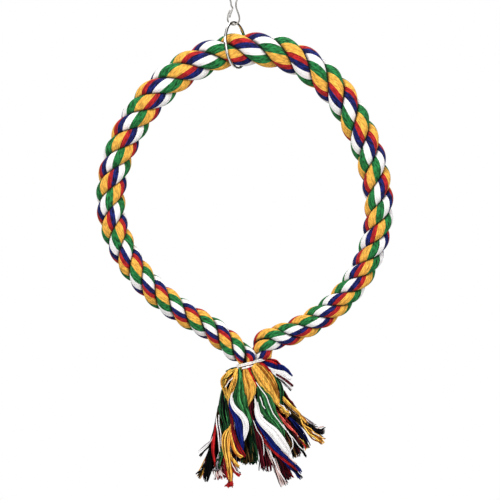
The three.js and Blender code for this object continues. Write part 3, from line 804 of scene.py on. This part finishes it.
# Each lock's bundles: colours by weight, neatness, and a guide of (x, y, drop, width) in tenths of a
# millimetre, where the drop is counted down from the tassel's top
locks = dict(
    left_b_orange=(
        ("orange 8 rust 2", 0.85, ((28, -60, 98, 28), (-37, -100, 134, 52), (-86, -123, 194, 70),
         (-90, -135, 259, 56), (-71, -141, 324, 42), (-42, -130, 399, 23))),
        ("orange 8 rust 2", 0.9, ((1, -126, 161, 19), (-37, -141, 193, 19), (-74, -144, 244, 19))),
        ("rust", 0.95, ((-70, -140, 146, 7), (-101, -159, 202, 8), (-102, -168, 257, 7))),
        ("umber 3 pine 3 black 2", 0.6, ((-107, -112, 372, 19), (-144, -168, 482, 23), (-144, -194, 564, 28),
         (-111, -219, 647, 28), (-92, -229, 702, 19))),
        ("orange 5 umber 3 black 1", 0.4, ((23, 10, 114, 38), (-71, 25, 378, 56), (-127, 0, 631, 56),
         (-201, -76, 861, 47), (-271, -123, 1008, 47), (-327, -133, 1120, 75))),
    ),
    left_b_blue=(
        ("black", 0.95, ((-110, -158, 211, 7), (-65, -166, 186, 8), (-20, -151, 168, 7))),
        ("black", 0.95, ((-97, -175, 276, 7), (-69, -174, 229, 8), (-41, -167, 197, 7))),
        ("blue", 0.95, ((52, -50, 150, 28), (-14, -119, 334, 28), (-34, -176, 425, 33), (-8, -219, 488, 47),
         (32, -254, 556, 65), (53, -279, 634, 75), (65, -294, 708, 65), (81, -297, 778, 47),
         (90, -285, 848, 14))),
        ("black 8 pine 2", 0.6, ((33, 0, 114, 38), (-89, -13, 395, 75), (-163, -105, 653, 56),
         (-205, -171, 818, 47), (-228, -190, 929, 65), (-237, -190, 1041, 70), (-256, -181, 1158, 47))),
        ("black 8 maroon 2", 0.4, ((23, 0, 133, 56), (-70, -25, 376, 103), (-135, -105, 653, 94),
         (-177, -142, 810, 94), (-191, -152, 931, 103), (-186, -152, 1044, 103))),
        ("black", 0.9, ((-247, -152, 931, 14), (-284, -171, 1024, 19), (-354, -171, 1084, 19))),
        ("black", 0.9, ((-163, -143, 670, 19), (-219, -180, 808, 23), (-275, -181, 869, 28),
         (-317, -171, 916, 32))),
    ),
    left_b_white=(
        ("white", 0.95, ((-76, -175, 266, 7), (-41, -177, 216, 8), (-8, -158, 179, 7))),
        ("white", 0.95, ((43, -93, 204, 11), (15, -129, 287, 19), (-11, -170, 351, 33), (-9, -204, 414, 45),
         (24, -236, 473, 54), (76, -263, 523, 63), (111, -281, 578, 67), (121, -293, 643, 59),
         (110, -294, 708, 37), (96, -283, 764, 14))),
        ("white", 0.9, ((-22, -256, 952, 9), (6, -275, 1016, 11), (57, -256, 1074, 9))),
        ("grey 2 white 2", 0.9, ((-89, -77, 392, 19), (-154, -154, 623, 19), (-205, -188, 761, 19),
         (-270, -190, 821, 21), (-335, -190, 873, 19))),
        ("white 4 pink 2", 0.9, ((-126, -123, 437, 9), (-158, -204, 573, 17), (-150, -241, 664, 19),
         (-139, -254, 766, 19), (-127, -247, 869, 14))),
        ("pink 3 white 2", 0.9, ((-134, -201, 527, 9), (-134, -238, 609, 14), (-115, -257, 710, 14),
         (-111, -256, 813, 9))),
        ("pink 4 maroon 4 white 2 red 2", 0.3, ((-107, -131, 764, 37), (-116, -171, 902, 65),
         (-130, -190, 1022, 103), (-111, -190, 1125, 121))),
        ("grey 3 white 2 pine 2", 0.4, ((-125, -238, 907, 19), (-148, -247, 972, 37),
         (-153, -238, 1038, 56))),
    ),
    left_b_green=(
        ("leaf 7 pine 3", 0.5, ((23, 50, 116, 47), (-53, 122, 288, 113), (-91, 192, 452, 123),
         (-110, 240, 644, 85), (-167, 228, 880, 85), (-224, 209, 1068, 95))),
        ("pine", 0.95, ((52, -40, 84, 14), (-23, -85, 100, 17), (-75, -100, 124, 11))),
    ),
    left_b_red=(
        ("maroon 3 pink 1", 0.7, ((-200, -161, 809, 14), (-251, -186, 920, 17), (-263, -186, 1022, 19),
         (-280, -177, 1126, 19))),
        ("red 2 maroon 3 pink 1", 0.5, ((61, 10, 124, 47), (-14, 12, 350, 94), (-71, 16, 585, 113),
         (-118, 19, 820, 122), (-146, 19, 1093, 122))),
    ),
    left_c_green=(
        ("pine 3 leaf 2", 0.5, ((80, 20, 124, 47), (61, 36, 351, 94), (61, 49, 587, 113), (89, 57, 822, 113),
         (127, 57, 983, 104))),
        ("black 5 pine 4 umber 2", 0.4, ((99, 0, 114, 56), (136, -51, 394, 94), (164, -125, 671, 112),
         (164, -152, 838, 122), (160, -152, 987, 122))),
    ),
    left_c_orange=(
        ("orange 3 rust 2 umber 2", 0.5, ((42, 40, 125, 38), (-34, 84, 353, 85), (-72, 123, 591, 94),
         (-109, 114, 826, 104), (-147, 95, 1023, 104))),
        ("orange 8 rust 2", 0.5, ((61, 70, 98, 57), (-15, 134, 213, 132), (-44, 174, 329, 123),
         (-15, 205, 453, 66), (60, 267, 617, 76), (89, 304, 838, 85), (70, 266, 996, 85))),
    ),
    left_c_white=(
        ("white 3 pink 2", 0.5, ((42, 30, 125, 38), (-43, 48, 351, 75), (-99, 74, 588, 85),
         (-165, 76, 824, 85), (-222, 76, 1078, 94))),
        ("white", 0.6, ((61, 60, 107, 38), (23, 147, 308, 76), (51, 242, 483, 85), (22, 299, 676, 85),
         (-54, 304, 866, 66), (-73, 285, 998, 47))),
    ),
    left_c_blue=(
        ("blue 3 black 3", 0.5, ((80, 30, 125, 47), (80, 84, 353, 104), (61, 139, 591, 113),
         (61, 152, 828, 113), (42, 133, 988, 113))),
    ),
    left_c_red=(
        ("maroon 3 red 2 black 2", 0.5, ((70, -20, 123, 47), (24, -30, 348, 85), (-14, -49, 581, 103),
         (-33, -57, 816, 113), (-42, -57, 1069, 113))),
    ),
    left_a_green=(
        ("leaf 7 pine 3", 0.75, ((57, -80, 102, 33), (63, -122, 184, 61), (60, -164, 276, 103),
         (58, -195, 349, 140), (69, -217, 414, 135), (99, -231, 478, 89), (136, -225, 539, 51),
         (164, -206, 620, 33))),
        ("black 5 pine 4 umber 2", 0.5, ((146, -199, 517, 28), (164, -206, 620, 47), (174, -204, 732, 84),
         (183, -199, 853, 89), (197, -190, 976, 75))),
        ("pine 3 leaf 2 grey 1", 0.8, ((136, -259, 719, 9), (164, -266, 803, 9), (183, -256, 906, 9),
         (192, -247, 972, 9))),
        ("pine 2 leaf 2 grey 2", 0.8, ((183, -264, 766, 9), (214, -266, 849, 11), (223, -256, 990, 9))),
        ("pine 6 leaf 3 black 2", 0.8, ((14, -30, 122, 28), (-70, -75, 252, 56), (-95, -122, 353, 56),
         (-93, -162, 435, 89), (-88, -189, 509, 107), (-69, -211, 582, 79), (-55, -219, 647, 47),
         (-78, -229, 702, 28))),
        ("leaf 5 pine 4", 0.6, ((33, 10, 124, 38), (-52, -26, 395, 47), (-88, -143, 670, 37),
         (-99, -224, 833, 33), (-113, -238, 916, 47), (-134, -234, 991, 47), (-172, -218, 1044, 28))),
    ),
    left_a_red=(
        ("red 8 maroon 1", 0.9, ((24, -40, 169, 19), (-32, -112, 372, 19), (-32, -175, 481, 23),
         (-20, -217, 572, 28), (-5, -253, 664, 37), (15, -277, 746, 47), (46, -285, 820, 56),
         (76, -281, 872, 51), (108, -270, 910, 23))),
        ("red 4 maroon 2", 0.3, ((-36, -228, 1038, 28), (-31, -243, 1121, 37), (-31, -247, 1195, 79))),
        ("red 3 maroon 3 black 2", 0.5, ((-32, -218, 899, 19), (-8, -238, 982, 37), (24, -238, 1047, 51),
         (62, -228, 1085, 37))),
        ("red 6 maroon 3", 0.8, ((-108, -75, 374, 19), (-149, -155, 576, 19), (-172, -208, 685, 28),
         (-187, -232, 777, 47), (-187, -238, 870, 51), (-171, -228, 964, 33), (-158, -209, 1021, 19))),
        ("maroon 3 black 3", 0.6, ((-135, -172, 500, 19), (-139, -211, 647, 28), (-130, -225, 759, 28),
         (-125, -218, 908, 28))),
        ("red 4 maroon 2", 0.5, ((-97, -209, 872, 19), (-80, -228, 964, 28), (-69, -228, 1057, 33),
         (-55, -224, 1123, 28))),
        ("red 2 maroon 1", 0.9, ((132, -95, 78, 21), (155, -125, 123, 21), (178, -142, 174, 19),
         (202, -152, 225, 14), (216, -149, 277, 14))),
    ),
    left_a_blue=(
        ("black", 0.6, ((24, -40, 141, 38), (-33, -78, 224, 75), (-56, -96, 298, 52), (-42, -96, 391, 28))),
        ("black 5 maroon 4", 0.5, ((117, -40, 112, 47), (146, -104, 316, 66), (164, -162, 426, 65),
         (174, -188, 518, 65), (202, -195, 611, 70), (230, -193, 714, 75), (267, -186, 836, 84),
         (290, -181, 948, 93), (300, -171, 1052, 103))),
        ("black 5 umber 2", 0.6, ((94, -169, 762, 28), (94, -209, 853, 47), (94, -218, 946, 47))),
        ("black", 0.8, ((206, -129, 203, 14), (223, -144, 277, 19), (214, -158, 351, 19),
         (192, -165, 407, 23), (174, -171, 463, 37))),
    ),
    left_a_orange=(
        ("orange 8 rust 2", 0.85, ((33, -70, 102, 38), (17, -111, 171, 56), (2, -138, 240, 70),
         (-25, -144, 310, 61), (-39, -139, 380, 33), (-42, -132, 446, 28), (-37, -152, 557, 33),
         (-32, -219, 647, 47), (-61, -267, 714, 89), (-70, -283, 774, 93), (-68, -285, 848, 74),
         (-52, -275, 933, 56), (-41, -266, 1008, 51), (-31, -262, 1073, 56), (-29, -256, 1139, 47))),
        ("orange 8 rust 2", 0.8, ((-22, -232, 665, 23), (-18, -271, 747, 37), (3, -294, 824, 43),
         (39, -294, 885, 43), (85, -285, 923, 34))),
        ("orange 8 rust 2", 0.7, ((-36, -275, 867, 19), (-8, -285, 937, 30), (25, -285, 978, 33),
         (57, -275, 1007, 28))),
        ("rust", 0.95, ((24, -169, 192, 7), (10, -189, 256, 8), (-22, -193, 322, 7))),
        ("umber 4 rust 2 black 4", 0.5, ((89, 30, 134, 47), (117, 0, 490, 85), (118, -131, 764, 75),
         (122, -199, 882, 84), (127, -209, 988, 93))),
        ("orange 8 rust 2", 0.85, ((108, -90, 92, 47), (120, -120, 147, 80), (136, -144, 202, 112),
         (152, -165, 257, 122), (158, -178, 308, 117), (155, -185, 359, 79), (144, -184, 406, 33),
         (136, -173, 444, 14))),
    ),
    left_a_white=(
        ("pink 3 grey 2 white 1", 0.7, ((183, -212, 573, 11), (216, -228, 646, 14), (258, -231, 721, 12),
         (286, -228, 805, 11), (276, -218, 927, 9))),
        ("pink 4 white 2 maroon 4 black 3", 0.2, ((61, 10, 152, 38), (5, -29, 489, 56), (-14, -113, 765, 66),
         (-4, -171, 949, 75), (15, -181, 1079, 84))),
        ("white", 0.9, ((226, -230, 404, 9), (242, -277, 476, 9), (276, -310, 544, 7))),
        ("white", 0.9, ((248, -222, 358, 6), (276, -274, 430, 7), (299, -288, 466, 6))),
        ("white", 0.95, ((174, -83, 223, 14), (197, -146, 352, 14), (211, -196, 424, 30),
         (218, -236, 487, 51), (243, -269, 551, 70), (299, -291, 615, 88), (369, -306, 675, 102),
         (425, -318, 744, 102), (481, -313, 823, 84), (527, -294, 889, 37))),
        ("white", 0.95, ((174, -90, 73, 14), (127, -115, 82, 19), (80, -120, 100, 17))),
    ),
    right_b_orange=(
        ("orange 4 rust 3 umber 2 white 1", 0.4, ((410, -204, 405, 23), (435, -216, 446, 47),
         (477, -220, 484, 65), (524, -216, 521, 56))),
        ("orange 3 rust 3", 0.5, ((174, 10, 124, 47), (230, 12, 350, 94), (277, 16, 585, 103),
         (324, 19, 820, 103), (362, 19, 1018, 94))),
        ("umber 4 rust 2 black 4", 0.5, ((454, -170, 430, 28), (519, -192, 490, 56), (580, -210, 549, 65),
         (640, -223, 605, 56), (696, -228, 665, 37))),
    ),
    right_b_green=(
        ("leaf 7 pine 3", 0.75, ((174, -70, 121, 28), (216, -121, 231, 33), (258, -167, 309, 93),
         (290, -205, 386, 154), (314, -232, 460, 163), (348, -252, 529, 130), (402, -266, 598, 93),
         (444, -275, 672, 56), (467, -282, 760, 23))),
        ("pine 2 black 2", 0.8, ((323, -147, 296, 19), (379, -198, 405, 28), (393, -224, 497, 28),
         (435, -237, 571, 19))),
        ("leaf 5 pine 3", 0.85, ((324, -40, 122, 19), (389, -86, 176, 33), (436, -116, 236, 47),
         (453, -137, 305, 51), (451, -152, 380, 47), (464, -153, 445, 23), (520, -121, 512, 28))),
        ("pine 2 grey 1", 0.8, ((408, -61, 182, 19), (474, -74, 238, 19), (544, -75, 313, 17))),
        ("black 5 pine 4 umber 2", 0.3, ((230, 0, 133, 38), (361, -68, 440, 66), (473, -154, 623, 75),
         (557, -188, 761, 84), (622, -199, 882, 93))),
    ),
    right_b_white=(
        ("pink 4 white 2 maroon 4 black 3", 0.2, ((174, 0, 152, 47), (221, -58, 487, 56),
         (286, -149, 744, 56), (370, -209, 946, 65), (426, -218, 1086, 84), (472, -209, 1189, 93))),
        ("white 2 pink 1", 0.8, ((342, -238, 851, 9), (383, -256, 962, 12), (435, -262, 1073, 14),
         (491, -256, 1148, 11))),
    ),
    right_b_blue=(
        ("blue", 0.85, ((164, -40, 169, 19), (174, -100, 373, 23), (192, -176, 519, 28),
         (230, -225, 605, 37), (276, -256, 668, 47), (327, -280, 737, 61), (378, -291, 811, 65),
         (444, -289, 880, 51), (509, -285, 937, 42), (574, -275, 993, 42), (639, -266, 1059, 37))),
        ("black 3 blue 2 maroon 2", 0.5, ((193, -20, 123, 47), (240, -30, 348, 85), (286, -49, 581, 103),
         (352, -57, 816, 103), (427, -66, 1068, 103))),
        ("black 6 maroon 3 blue 1", 0.3, ((164, 0, 152, 47), (221, -29, 489, 75), (295, -110, 719, 75),
         (323, -152, 856, 84), (323, -161, 1052, 84))),
        ("black 4 maroon 4", 0.3, ((323, -169, 762, 37), (388, -199, 900, 75), (444, -205, 1021, 103),
         (491, -199, 1143, 112))),
    ),
    right_b_red=(
        ("red 6 maroon 3", 0.85, ((155, -20, 188, 19), (174, -82, 439, 28), (230, -176, 649, 28),
         (286, -235, 758, 33), (346, -266, 826, 42), (411, -285, 881, 47), (476, -285, 937, 37),
         (541, -279, 988, 33), (607, -266, 1045, 23))),
        ("salmon 2 pink 1", 0.8, ((444, -294, 843, 9), (509, -300, 903, 17), (546, -291, 941, 19),
         (588, -275, 984, 9))),
        ("maroon 2 black 2 red 1", 0.5, ((230, -15, 123, 47), (315, -24, 348, 85), (399, -46, 535, 94),
         (474, -53, 675, 103), (586, -66, 834, 103))),
        ("red", 0.9, ((249, -80, 45, 23), (286, -110, 68, 42), (323, -125, 105, 42), (361, -120, 152, 14))),
        ("red 5 maroon 2", 0.97, ((277, -10, 8, 33), (333, -24, 21, 52), (390, -29, 38, 52),
         (446, -30, 69, 21))),
        ("maroon 5 red 2 black 4", 0.3, ((193, 20, 152, 47), (268, -15, 508, 75), (352, -113, 765, 84),
         (435, -161, 949, 84), (529, -161, 1127, 84))),
        ("salmon 5 red 3 pink 1 maroon 2", 0.8, ((305, -31, 207, 28), (389, -110, 438, 28),
         (431, -190, 527, 37), (477, -221, 572, 51), (528, -237, 623, 51), (575, -239, 674, 33),
         (631, -239, 744, 28))),
        ("maroon", 0.95, ((399, -43, 155, 11), (455, -51, 184, 17), (507, -54, 220, 30),
         (558, -54, 267, 33))),
        ("maroon 5 red 1", 0.9, ((474, -51, 309, 23), (502, -68, 365, 33), (544, -80, 420, 37),
         (581, -86, 472, 47))),
        ("red 3 pink 3 orange 2", 0.4, ((594, -219, 703, 23), (649, -232, 768, 37), (696, -228, 833, 65))),
        ("maroon 4 black 2 umber 2", 0.6, ((482, -176, 556, 28), (547, -211, 647, 47), (594, -222, 721, 47),
         (649, -224, 805, 47))),
    ),
    right_a_orange=(
        ("orange 8 rust 2", 0.5, ((212, 70, 98, 66), (268, 144, 214, 142), (306, 199, 339, 142),
         (288, 242, 483, 76), (269, 303, 695, 85), (326, 285, 931, 95))),
    ),
    right_a_red=(
        ("red 3 maroon 4", 0.5, ((155, 40, 125, 47), (212, 96, 353, 104), (249, 139, 591, 113),
         (306, 152, 828, 113), (372, 133, 997, 113))),
    ),
    right_a_blue=(
        ("blue 3 black 3", 0.5, ((211, 20, 124, 47), (287, 36, 351, 94), (343, 49, 587, 104),
         (419, 57, 822, 104), (494, 57, 1058, 104))),
        ("blue", 0.5, ((174, 70, 107, 38), (193, 147, 308, 66), (231, 242, 483, 85), (307, 294, 657, 85),
         (411, 304, 847, 76), (534, 266, 1025, 66))),
    ),
    right_a_white=(
        ("white", 0.6, ((287, 50, 97, 38), (381, 94, 231, 66), (448, 150, 384, 66), (533, 184, 537, 66),
         (656, 178, 688, 66))),
        ("white 2 pink 2 grey 1", 0.5, ((212, 60, 126, 38), (287, 120, 354, 76), (344, 168, 574, 76),
         (401, 188, 783, 76), (439, 171, 933, 76))),
    ),
    right_a_green=(
        ("leaf 7 pine 3", 0.5, ((98, 70, 107, 47), (117, 139, 261, 123), (89, 224, 425, 123),
         (127, 278, 599, 85), (174, 282, 789, 85), (155, 266, 978, 95))),
    ),
    right_c_orange=(
        ("orange 8 rust 2", 0.85, ((197, -80, 69, 94), (249, -120, 128, 150), (300, -154, 197, 168),
         (342, -174, 262, 150), (377, -193, 322, 107), (401, -208, 382, 65), (416, -219, 432, 28))),
        ("orange 8 rust 2", 0.65, ((399, -102, 298, 19), (468, -156, 379, 33), (510, -185, 420, 41),
         (556, -203, 461, 34), (603, -215, 503, 26), (649, -229, 553, 22), (696, -238, 609, 21))),
        ("orange 4 rust 2 black 1", 0.5, ((622, -214, 545, 23), (659, -233, 628, 37), (715, -239, 688, 47),
         (780, -239, 744, 61), (845, -233, 786, 65))),
    ),
    right_c_red=(
        ("red 2 maroon 3", 0.5, ((249, 20, 124, 38), (343, 36, 351, 85), (419, 46, 539, 94),
         (532, 55, 709, 104), (626, 57, 832, 104))),
    ),
    right_c_blue=(
        ("blue 4 black 2", 0.6, ((379, -256, 841, 28), (444, -262, 924, 37), (518, -262, 999, 42),
         (584, -256, 1055, 47), (635, -253, 1125, 37))),
        ("blue", 0.95, ((277, 10, 30, 38), (334, -15, 57, 56), (390, -25, 75, 70), (446, -30, 88, 66),
         (498, -33, 113, 42), (554, -35, 169, 9))),
        ("blue 4 black 5", 0.7, ((296, 0, 133, 28), (436, -105, 410, 33), (501, -186, 527, 37),
         (565, -226, 609, 56), (621, -244, 683, 61), (668, -244, 753, 61), (705, -234, 828, 56))),
        ("black 8 maroon 3", 0.4, ((268, -10, 151, 56), (380, -62, 374, 94), (464, -138, 521, 94),
         (557, -167, 650, 112), (622, -178, 761, 112), (669, -181, 845, 103))),
        ("black 6 maroon 2 umber 1", 0.5, ((444, -197, 620, 47), (500, -231, 721, 75), (556, -238, 823, 75),
         (603, -228, 912, 84))),
        ("black", 0.8, ((603, -227, 796, 19), (645, -228, 861, 28), (678, -218, 918, 33))),
        ("black 5 blue 1 pink 1", 0.4, ((605, -108, 531, 37), (688, -163, 622, 47), (762, -178, 663, 61),
         (851, -172, 692, 79))),
    ),
    right_c_white=(
        ("white 2 pink 1", 0.9, ((211, -146, 221, 9), (253, -189, 280, 13), (309, -233, 352, 11),
         (337, -274, 430, 11), (369, -297, 508, 13), (434, -300, 587, 11), (495, -285, 662, 9))),
        ("white", 0.95, ((305, -10, 81, 23), (362, -32, 117, 38), (418, -40, 134, 52), (474, -43, 159, 56),
         (540, -41, 206, 23))),
        ("white 3 pink 1", 0.9, ((343, -25, 137, 19), (408, -41, 181, 33), (474, -47, 225, 33),
         (549, -48, 295, 19))),
        ("white 2 orange 2", 0.8, ((649, -246, 608, 9), (714, -261, 649, 9), (779, -266, 705, 9),
         (854, -253, 748, 9))),
        ("pink 3 grey 3 black 1", 0.5, ((287, 30, 115, 38), (437, -12, 348, 47), (586, -90, 504, 37),
         (669, -147, 576, 37), (734, -171, 617, 37), (800, -173, 631, 33))),
        ("white 3 pink 1", 0.9, ((393, -240, 534, 11), (462, -271, 616, 15), (527, -284, 704, 14),
         (593, -284, 783, 15), (653, -266, 854, 14))),
        ("white", 0.95, ((504, -284, 671, 9), (539, -298, 731, 11), (557, -300, 791, 11),
         (537, -285, 857, 11))),
    ),
    right_c_green=(
        ("leaf 7 pine 3", 0.5, ((268, 60, 107, 47), (353, 126, 241, 113), (401, 185, 376, 104),
         (430, 224, 520, 76), (515, 232, 691, 66), (600, 209, 841, 66))),
        ("pine 6 leaf 3 black 2", 0.5, ((306, 30, 115, 38), (428, 43, 266, 56), (494, 53, 417, 56),
         (598, 49, 577, 56), (739, 36, 708, 56))),
        ("leaf 3 pine 3 black 2", 0.5, ((268, 40, 134, 38), (344, 84, 353, 85), (410, 116, 543, 94),
         (495, 109, 712, 104), (551, 95, 853, 104))),
    ),
)


def yarnTubesTree():
    tree, given = newTree("yarnTubes", (("Sides", "Int"), ("Material", "Material")))
    curves = addWire(tree, "GeometryNodeMeshToCurve", {"Mesh": given["Geometry"]})
    section = addWire(tree, "GeometryNodeCurvePrimitiveCircle", {"Resolution": given["Sides"], "Radius": 1.0})
    tubes = addWire(tree, "GeometryNodeCurveToMesh", {
        "Curve": curves, "Profile Curve": section, "Fill Caps": True,
        "Scale": named(tree, "thickness", "FLOAT")})
    closeTree(tree, tubes, given["Material"])
    return tree


def looseYarnMaterial():
    material, tree = emptyMaterial("looseYarn")
    colour = Wire(addNode(tree, "ShaderNodeAttribute", attribute_name="yarnColour"), "Color")
    spot = addNode(tree, "ShaderNodeTexCoord").outputs["Object"]
    fibres = noise(tree, spot, tassel["fibreScale"], detail=4.0)
    gapShadeMarks = noise(tree, vectors(tree, "MULTIPLY", spot, tassel["gapShadeMarkScale"]), 1.0, detail=2.0)
    # painted shade and light: stretched marks stand for the shaded gaps between yarns and also vary the tone
    # at random; pale yarn shows little of the marks
    red, green, blue = addNode(tree, "ShaderNodeSeparateColor", {"Color": colour}).outputs
    paleness = maths(tree, "MINIMUM", maths(tree, "MINIMUM", red, green), blue)
    gapShaded = eased(tree, gapShadeMarks, *tassel["gapShadeMarkTone"]) * (1.0 - paleness) + 1.0
    shade = eased(tree, fibres, *tassel["fibreTone"]) * gapShaded
    cottonShader(tree, scaled(tree, colour, shade), fibres, dyedSheen=True)
    return material


def guidePlaces(guide):
    unit = tassel["unit"]
    points = [(x * unit, y * unit, tassel["top"] - drop * unit) for x, y, drop, width in guide]
    return points, [width * unit for x, y, drop, width in guide]


def bundleYarns(colours, neat, guide, rng):
    # the yarns of one bundle: points, colour and thickness of each
    points, widths = guidePlaces(guide)
    steps = tassel["guideSteps"]
    route = Route(throughPoints(points, steps))

    def widthAt(run):
        place = min(bisect.bisect_left(route.runs, run, 1), len(route.runs) - 1) - 1
        low = min(place // steps, len(widths) - 2)
        return lerp(widths[low], widths[low + 1], smooth(place / steps - low))

    words = colours.split()
    names, weights = words[0::2], [float(weight) for weight in words[1::2]] or [1.0]
    widest = max(widths)
    area = math.pi / 4 * widest * (widest * tassel["thin"] + tassel["thick"])
    count = max(1, round(area / tassel["yarn"] ** 2 / tassel["packing"]))
    loose = tassel["looseness"] - neat
    face = -front if points[len(points) // 2][1] > tassel["backFrom"] else front
    gapShadePhase = guide[0][0] * tassel["gapShadePhase"]
    yarns = []
    for i in range(count):
        reach = math.sqrt((i + 0.5) / count)
        angle = i * tassel["spiral"] + rng.uniform(0, tassel["spiralPlay"])
        a, b = reach * math.cos(angle), reach * math.sin(angle)
        end = 1 - rng.random() ** 2 * tassel["fray"] * loose
        name = rng.choices(names, weights)[0]
        tone = rng.uniform(*tassel["tones"].get(name, tassel["tone"]))
        # painted shade and light: yarns that lie side by side share a light or a dark streak, which stands
        # for the shade in the gaps between clumps of yarn
        gapShade = sum(math.sin(2 * math.pi * a * widest / 2 / wide + gapShadePhase)
                     for wide in tassel["gapShadeWidths"]) / len(tassel["gapShadeWidths"])
        tone *= 1 + gapShade * tassel["gapShades"].get(name, tassel["gapShade"])
        colour = tuple(min(channel * tone, 1.0) for channel in dye[name][:3]) + (1.0,)
        waves = [(rng.uniform(*tassel["waves"]), rng.uniform(0, tassel["fullTurn"])) for j in range(3)]
        places = []
        for k in range(tassel["points"]):
            share = k / (tassel["points"] - 1) * end
            run = share * route.length
            ahead = route.heading(run, tassel["reach"])
            across = ahead.cross(face).normalized()
            out = across.cross(ahead)
            width = max(widthAt(run) - tassel["yarn"], tassel["thinnest"])
            thick = width * tassel["thin"] + tassel["thick"]
            opened = smooth((share - tassel["splayFrom"]) / (1 - tassel["splayFrom"]))
            spread = 1 + tassel["splay"] * loose * opened
            drift = tassel["wander"] * loose * (tassel["wanderStart"] + share)
            sway = [drift * math.sin(turns * tassel["fullTurn"] * share + start) for turns, start in waves]
            places.append(route.place(run) + across * (a * width / 2 * spread + sway[0])
                          + out * (b * thick / 2 * spread + sway[1]) + Vector((0, 0, sway[2])))
        # a yarn that strays alone looks thinner
        stout = rng.uniform(*tassel["stout"]) if count > 1 else tassel["loneStout"]
        yarns.append((places, colour, tassel["yarn"] / 2 * stout))
    return yarns


def yarnObject(name, yarns):
    mesh = bpy.data.meshes.new(name)
    points, edges, colours, sizes = [], [], [], []
    for places, colour, radius in yarns:
        first = len(points)
        points += places
        edges += [(first + i, first + i + 1) for i in range(len(places) - 1)]
        for i in range(len(places)):
            colours += colour
            tip = smooth((i / (len(places) - 1) - tassel["tipFrom"]) / (1 - tassel["tipFrom"]))
            sizes.append(radius * (1 - tassel["tipThin"] * tip))
    mesh.from_pydata(points, edges, [])
    mesh.attributes.new("yarnColour", "FLOAT_COLOR", "POINT").data.foreach_set("color", colours)
    mesh.attributes.new("thickness", "FLOAT", "POINT").data.foreach_set("value", sizes)
    return linkedObject(name, mesh)


def makeTassel():
    tree = yarnTubesTree()
    material = looseYarnMaterial()
    made = {}
    total = 0
    for order, (name, bundles) in enumerate(locks.items()):
        rng = random.Random(tassel["seed"] + order)
        yarns = []
        for colours, neat, guide in bundles:
            yarns += bundleYarns(colours, neat, guide, rng)
        total += len(yarns)
        end, letter, colour = name.split("_")
        piece = throughTree(yarnObject(end + letter.upper() + colour.capitalize() + "Yarns", yarns), tree,
                            {"Sides": tassel["sides"], "Material": material})
        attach(piece, "perch")
        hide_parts(name + "_lock")
        colour + "_cotton"
        made[name] = piece
    print("tassel made:", len(made), "locks,", total, "yarns")
    return made


tasselPieces = makeTassel()

for name, (piece, line) in strands.items():
    letter = "_" + name[-1].lower() + "_"
    round(Route(line).length, 3)
    [yarns for lock, yarns in tasselPieces.items() if letter in lock]

print("scene finished")
